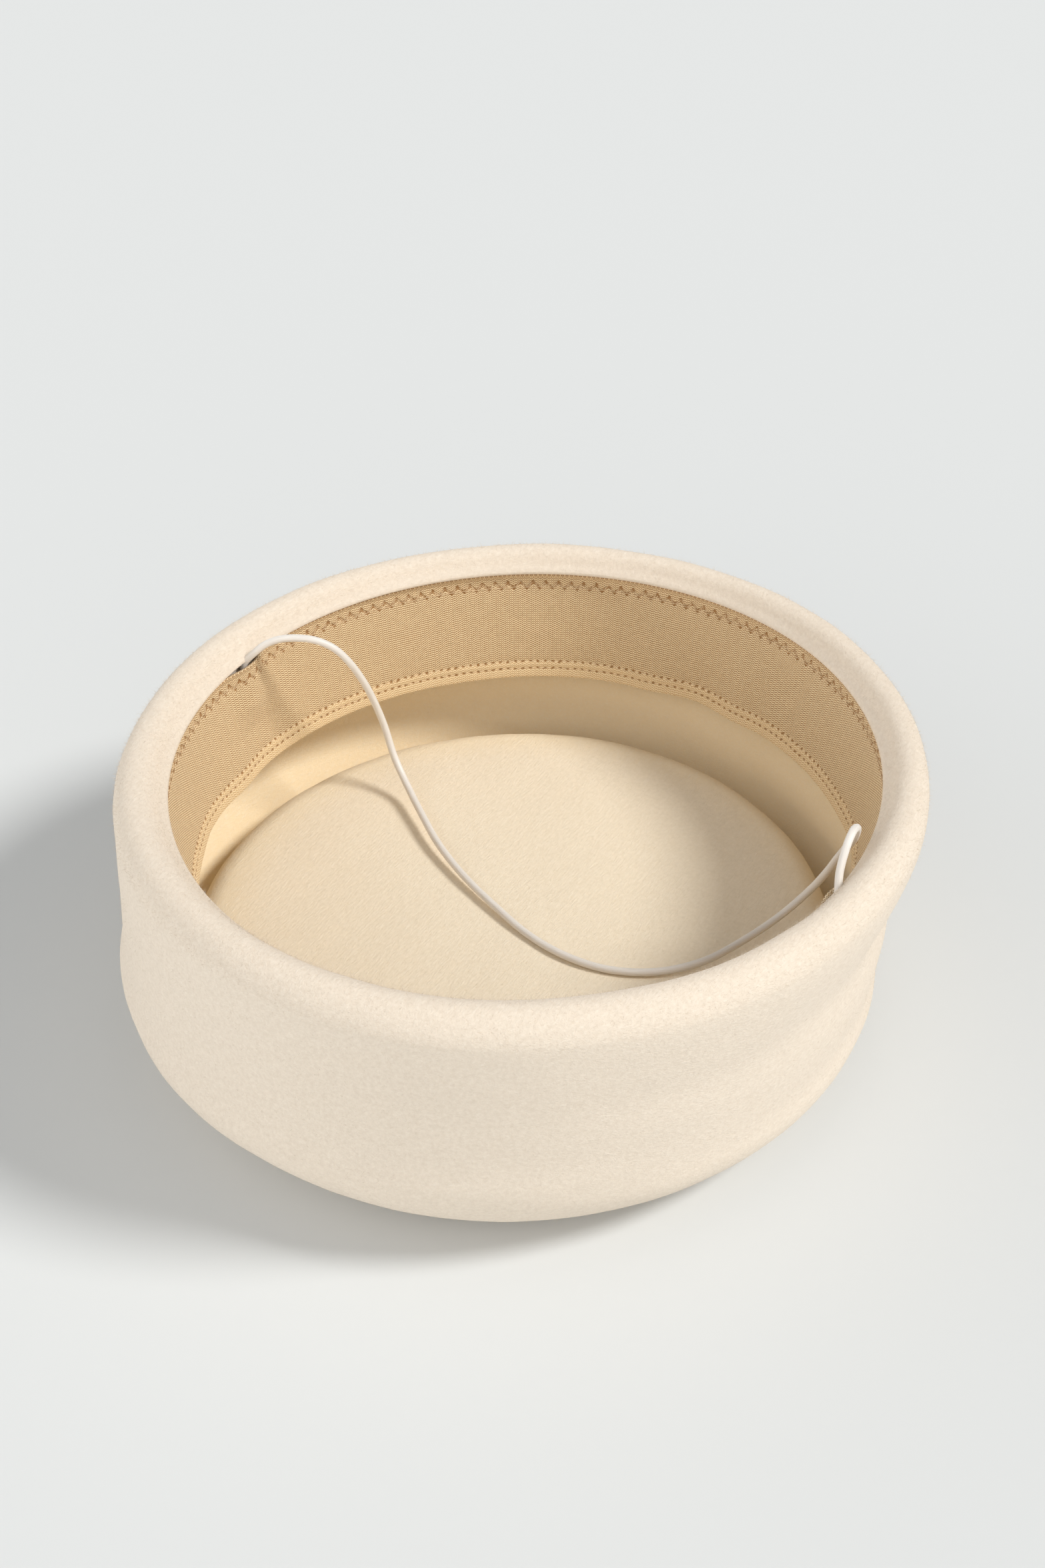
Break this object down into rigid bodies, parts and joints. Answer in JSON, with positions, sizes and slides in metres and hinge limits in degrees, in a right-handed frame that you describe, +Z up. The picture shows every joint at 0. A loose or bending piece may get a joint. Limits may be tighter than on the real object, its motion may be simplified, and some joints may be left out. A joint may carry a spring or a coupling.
{
  "type": "pillbox hat",
  "caption": "Felt pillbox hat with a soft rolled rim, a sunken tip, a knit sweatband and a round head elastic, lying on its crown.",
  "frame": {"origin": "on the table, under the middle of the rim, with the hat lying on its crown and its opening up", "axes": "+X from the left ear to the right ear across the opening, +Y from the back of the head to the front, +Z up out of the opening"},
  "size_m": [0.2013, 0.2084, 0.0843],
  "materials": {
    "ivory_felt": "soft brushed wool felt, matt",
    "tan_knit": "knit elastic ribbon with a fine herringbone, slight sheen",
    "white_elastic": "smooth braided cover, slight sheen"
  },
  "bodies": {
    "root": {"felt_crown": "ivory_felt", "sweatband": "tan_knit", "elastic_cord": "white_elastic"}
  },
  "joints": []
}
